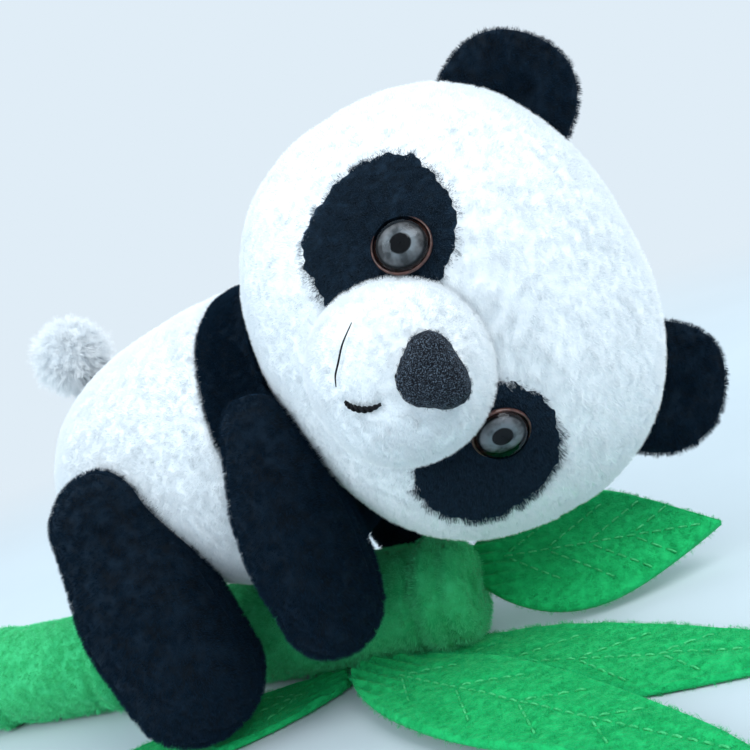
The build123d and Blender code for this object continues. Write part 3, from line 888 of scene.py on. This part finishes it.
def make_limb(side, name, limb, joint_body, seed):
    """One limb, made on the right side and mirrored for the left."""
    mirror = np.array([1.0, -1.0 if side > 0 else 1.0, 1.0])
    a, b = np.array(limb["a"]), np.array(limb["b"])
    middle = (a + b) / 2 + np.array([0.0, -3.0, 0.0])
    swing = [j for j in frame["joints"] if j["child"] == joint_body.replace("left", "right")][0]
    pivot = np.array(swing["pos_m"]) / MM
    angles = [math.radians(d) for d in (*swing["range_deg"], 0.0)]
    swept = [np.array(Matrix.Rotation(-angle, 3, Vector(swing["axis"]))) for angle in angles]

    def field(p):
        body = limb_field(p, limb)
        for spin in swept:
            body = np.maximum(body, LIMB_AIR - torso_field(pivot + (p - pivot) @ spin))
        body = np.maximum(body, HEAD_AIR - head_field(to_head(p * mirror)))
        return np.maximum(body, PAW_FLOOR - p[:, 2])

    ways, faces = cube_sphere(LIMB_MESH)
    verts = cast(field, middle, ways)
    verts = nap(verts, faces, LIMB_NAP, seed)
    verts = groove(verts, faces, verts[:, 1] - middle[1] - 4.0, depth=0.45, width=0.6)
    bare = torso_field(verts) < 0.9
    verts = verts * mirror
    if side > 0:
        faces = faces[:, ::-1]
    part = piece(name + "_plush", verts, faces, [BLACK, BLACK_FIBRE])
    weigh(part, 1.0 - bare)
    pile(part, area_mm2(verts, faces), LIMB_PILE, seed=seed + 1)
    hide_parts(name + "_cover", name + "_stuffing")
    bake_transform(part)


def make_tail():
    low, high = (np.array(v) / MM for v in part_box("tail_cover"))
    centre = (low + high) / 2
    ways, faces = cube_sphere(TAIL_MESH)
    verts = centre + ways * TAIL_R
    verts = nap(verts, faces, TAIL_NAP, seed=71)
    tail = piece("plush_tail", verts, faces, [WHITE, WHITE_FIBRE])
    pile(tail, area_mm2(verts, faces), TAIL_PILE, seed=72, droop=(0, 0, -0.3), curl=0.6, spread=0.8)
    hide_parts("tail_cover", "tail_stuffing")
    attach(tail, "tail")


# ---- bamboo ------------------------------------------------------------------------
def make_stalk():
    rows, spokes = 300, 120
    rear, front, r0, end = STALK["rear"], STALK["front"], STALK["r"], STALK["end"]
    share = np.linspace(0, math.pi, rows)
    x = (rear + front) / 2 - (front - rear) / 2 * np.cos(share)
    near = np.minimum(x - rear, front - x)
    bite = np.clip(near / end, 0, 1)
    radius = r0 - end + end * np.sqrt(np.clip(1 - (1 - bite) ** 2, 0, 1))
    radius = np.where(near < 1e-6, 0.05, radius)
    for joint in STALK_JOINTS:
        gap = x - joint
        radius = radius + 1.3 * np.exp(-(gap / 2.0) ** 2) - 0.8 * np.exp(-((np.abs(gap) - 4.2) / 1.3) ** 2)
    angle = np.linspace(0, 2 * math.pi, spokes, endpoint=False)
    y = radius[:, None] * np.sin(angle)[None]
    z = STALK["z"] + radius[:, None] * np.cos(angle)[None]
    verts = np.stack([np.broadcast_to(x[:, None], y.shape), y, z], -1).reshape(-1, 3)
    index = np.arange(spokes)
    poles = len(verts)
    ends = [[poles, poles, k, (k + 1) % spokes] for k in index]
    last = (rows - 1) * spokes
    ends += [[poles + 1, poles + 1, last + (k + 1) % spokes, last + k] for k in index]
    verts = np.concatenate([verts, [[rear - 0.2, 0, STALK["z"]]], [[front + 0.2, 0, STALK["z"]]]])
    faces = np.concatenate([grid_faces(rows, spokes, True), np.array(ends)])
    verts = nap(verts, faces, STALK_NAP, seed=81)
    verts[:, 2] = np.maximum(verts[:, 2], 0.05)
    stalk = piece("plush_stalk", verts, faces, [GREEN, GREEN_FIBRE])
    weigh(stalk, (verts[:, 2] > 1.0) * 1.0)
    pile(stalk, area_mm2(verts, faces), STALK_PILE, seed=82, droop=(-0.3, 0, -0.2), curl=0.35)
    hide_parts("stalk_cover", "stalk_front_cap", "stalk_rear_cap", "stalk_stuffing",
                "stalk_joint_folds")
    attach(stalk, "torso")


def leaf_half(half_width, u):
    """Half width of a leaf at a share u of its length."""
    swell = np.sin(math.pi * np.minimum(1.0, u) ** 0.8)
    return LEAF_STEM_HALF * (1 - u) + (half_width - LEAF_STEM_HALF * 0.5) * np.maximum(0.0, swell)


def from_leaf(name, p):
    """Points on the flat leaf, taken to the shared frame."""
    base, heading, rise, roll = LEAVES[name][:4]
    axes = turn("z", heading) @ turn("y", -rise) @ turn("x", roll)
    return np.array(base) + np.asarray(p) @ axes.T


def vein_lines(length, half_width):
    """Midrib and side veins as start and end points on the flat leaf."""
    lines = [((length * 0.14, 0.0), (length * 0.93, 0.0))]
    for k in range(4):
        begin = length * (0.16 + 0.17 * k)
        reach = float(leaf_half(half_width, np.array(0.22 + 0.17 * k))) * 1.05
        for side in (-1, 1):
            lean = math.radians(34.0)
            lines.append(((begin, side * 0.8),
                          (begin + reach * math.cos(lean), side * (0.8 + reach * math.sin(lean)))))
    return lines


def line_gap(xy, line):
    a, b = np.array(line[0]), np.array(line[1])
    t = np.clip((xy - a) @ (b - a) / ((b - a) @ (b - a)), 0, 1)
    return lengths(xy - a - t[:, None] * (b - a))


def leaf_wave(xy, length, depth, size, seed):
    """Unevenness of a leaf's cloth, fading in from the stem."""
    flat = np.column_stack([xy, np.zeros(len(xy))])
    return depth * rough(flat, size, seed) * np.clip(xy[:, 0] / length * 6, 0, 1)


def leaf_height(xy, length, half_width, seed):
    """Extra height of the upper cloth: puckers at the stitches and soft waves."""
    gap = np.min([line_gap(xy, line) for line in vein_lines(length, half_width)], 0)
    pleat = 0.8 * np.sin(xy[:, 1] * 1.9) * np.exp(-(xy[:, 0] / length / 0.14) ** 2)
    wave = leaf_wave(xy, length, *LEAF_SWAY, seed) + leaf_wave(xy, length, *LEAF_RIPPLE, seed + 1)
    return 0.45 * (1 - np.exp(-(gap / 1.6) ** 2)) - 0.25 + wave + pleat


def leaf_top(xy, length, half_width, seed):
    """Extra height of the upper cloth, as far down as the stitches may press it."""
    return np.maximum(leaf_height(xy, length, half_width, seed), LEAF_LOWEST)


def make_leaf(name, seed):
    rise, length, half_width = LEAVES[name][2], *LEAVES[name][4:]
    rows, cols = 190, 56
    u = np.linspace(0.0, 1.0, rows)
    v = np.linspace(-1, 1, cols)
    uu, vv = np.meshgrid(u, v, indexing="ij")
    half = leaf_half(half_width, uu) + LEAF_HEM
    xy = np.stack([uu * length, vv * half], -1).reshape(-1, 2)
    edge = np.abs(vv).ravel()
    thick = 0.75 + 1.0 * np.sqrt(np.clip(1 - edge ** 4, 0, 1)) + 0.35 * np.exp(-((edge - 0.93) / 0.05) ** 2)
    wave = leaf_wave(xy, length, *LEAF_SWAY, seed)
    top = np.column_stack([xy, thick + leaf_top(xy, length, half_width, seed)])
    bottom = np.column_stack([xy, np.maximum(wave, 0) if rise == 0 else wave])
    top[:, 2] = np.maximum(top[:, 2], bottom[:, 2] + 0.5)
    faces = grid_faces(rows, cols, False)
    count = len(top)
    verts, closed = thicken(top, faces, 0.1)
    verts[count:] = bottom
    if normals_of(top, faces)[:, 2].mean() < 0:
        closed = closed[:, ::-1]
    leaf = piece(name + "_cloth", from_leaf(name, verts), closed, [LEAF, LEAF_FIBRE])
    weigh(leaf, np.r_[np.ones(count), np.full(count, 0.4)])
    pile(leaf, area_mm2(top, faces) * 2, LEAF_PILE, seed, droop=(0, 0, 0), curl=0.9)
    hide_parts(name)
    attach(leaf, name)


def make_veins(name, seed):
    """Rows of raised stitches along a leaf's veins."""
    length, half_width = LEAVES[name][4:]
    parts = []
    for line in vein_lines(length, half_width):
        a, b = np.array(line[0]), np.array(line[1])
        count = max(2, int(np.linalg.norm(b - a) / LEAF_STITCH))
        for k in range(count):
            s = a + (b - a) * ((k + 0.15) / count)
            e = a + (b - a) * ((k + 0.8) / count)
            points = s + (e - s) * np.linspace(0, 1, 7)[:, None]
            inside = np.abs(points[:, 1]) < leaf_half(half_width, points[:, 0] / length) * 0.93
            if not inside.all():
                continue
            lift = 1.75 + leaf_top(points, length, half_width, seed)
            arch = 0.28 * np.sin(np.linspace(0, math.pi, 7)) - 0.02
            path = np.column_stack([points, lift + arch])
            parts.append(tube(path, 0.26 * np.ones(7), 8))
    verts, faces = merge(parts)
    veins = piece(name + "_vein_stitches", from_leaf(name, verts), faces, [VEIN])
    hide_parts(name + "_veins")
    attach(veins, name)


def make_amber_tack(name, seed):
    """Three short loops of amber thread near a leaf's stem."""
    length, half_width = LEAVES[name][4:]
    share = np.linspace(0, 1, 9)
    loops = []
    for k in range(3):
        points = np.array([30.0 + 1.1 * k, -3.2]) + np.array([0.5, 2.4]) * share[:, None]
        arch = 2.0 + 0.5 * np.sin(math.pi * share)
        lift = arch + leaf_top(points, length, half_width, seed)
        loops.append(tube(np.column_stack([points, lift]), 0.3 * np.ones(len(share)), 8))
    verts, faces = merge(loops)
    tack = piece(name + "_amber_stitch", from_leaf(name, verts), faces, [AMBER_THREAD])
    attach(tack, name)


# ---- CAD nodes that stay, and the stage ----------------------------------------------
def paint(material, *names):
    """Give CAD nodes that stay in sight a finished material."""
    for name in names:
        mesh = frame["nodes"][name].data
        mesh.materials.clear()
        mesh.materials.append(material)


def floor_material():
    """Pale floor that fades into the room's own tone away from the toy, so no horizon shows."""
    material = surface("floor_paint", srgb(186, 200, 208), srgb(190, 204, 212), 8.0, 0.8)
    tree = material.node_tree
    place = tree.nodes.new("ShaderNodeNewGeometry")
    reach = tree.nodes.new("ShaderNodeVectorMath")
    reach.operation = "LENGTH"
    fade = tree.nodes.new("ShaderNodeMapRange")
    fade.interpolation_type = "SMOOTHSTEP"
    fade.inputs["From Min"].default_value = 0.16
    fade.inputs["From Max"].default_value = 0.9
    glow = tree.nodes.new("ShaderNodeEmission")
    glow.inputs["Color"].default_value = ROOM
    mix = tree.nodes.new("ShaderNodeMixShader")
    tree.links.new(place.outputs["Position"], reach.inputs[0])
    tree.links.new(reach.outputs["Value"], fade.inputs["Value"])
    tree.links.new(fade.outputs["Result"], mix.inputs["Fac"])
    tree.links.new(tree.nodes["Principled BSDF"].outputs["BSDF"], mix.inputs[1])
    tree.links.new(glow.outputs["Emission"], mix.inputs[2])
    tree.links.new(mix.outputs["Shader"], tree.nodes["Material Output"].inputs["Surface"])
    return material


def make_stage():
    bpy.ops.mesh.primitive_plane_add(size=6.0, location=(0, 0, -0.0002))
    floor = bpy.context.object
    floor.name = "floor"
    floor.data.materials.append(floor_material())
    for name, at, aim, size, power, colour in LIGHTS:
        light = bpy.data.lights.new(name, "AREA")
        light.shape = "SQUARE"
        light.size = size
        light.energy = power
        light.color = colour
        lamp = bpy.data.objects.new(name, light)
        lamp.location = at
        lamp.rotation_euler = (Vector(aim) - Vector(at)).to_track_quat("-Z", "Y").to_euler()
        bpy.context.scene.collection.objects.link(lamp)
    world = bpy.data.worlds.new("pale_room")
    world.use_nodes = True
    world.node_tree.nodes["Background"].inputs["Color"].default_value = ROOM
    world.node_tree.nodes["Background"].inputs["Strength"].default_value = 1.0
    bpy.context.scene.world = world
    bpy.context.scene.view_settings.view_transform = "Standard"


def make_camera():
    look, up = Vector(CAMERA_LOOK).normalized(), Vector(CAMERA_UP).normalized()
    right = look.cross(up).normalized()
    up = right.cross(look)
    camera = bpy.data.objects.new("camera", bpy.data.cameras.new("camera"))
    camera.data.lens = CAMERA_LENS
    camera.data.sensor_width = 36.0
    camera.data.clip_start = 0.01
    place = Matrix((right, up, -look)).transposed().to_4x4()
    place.translation = Vector(CAMERA_AT) * MM
    camera.matrix_world = place
    bpy.context.scene.collection.objects.link(camera)
    bpy.context.scene.camera = camera


make_head()
make_muzzle()
make_smile()
make_nose()
for _side, _name in ((-1, "right"), (1, "left")):
    make_patch(_name)
    make_eye(_side, _name)
    make_ear(_side, _name)
    make_limb(_side, _name + "_arm", ARM, _name + "_shoulder", 61 + 4 * _side)
    make_limb(_side, _name + "_leg", LEG, _name + "_hip", 71 + 4 * _side)
make_torso()
make_tail()
make_stalk()
for _k, _leaf in enumerate(LEAVES):
    make_leaf(_leaf, 91 + 5 * _k)
    make_veins(_leaf, 91 + 5 * _k)
make_amber_tack("rear_leaf", 91 + 5 * list(LEAVES).index("rear_leaf"))
paint(BLACK_THREAD, "right_shoulder_stitching", "left_shoulder_stitching",
      "right_hip_stitching", "left_hip_stitching")
paint(WHITE_THREAD, "neck_stitching", "belly_stitching")
make_stage()
make_camera()
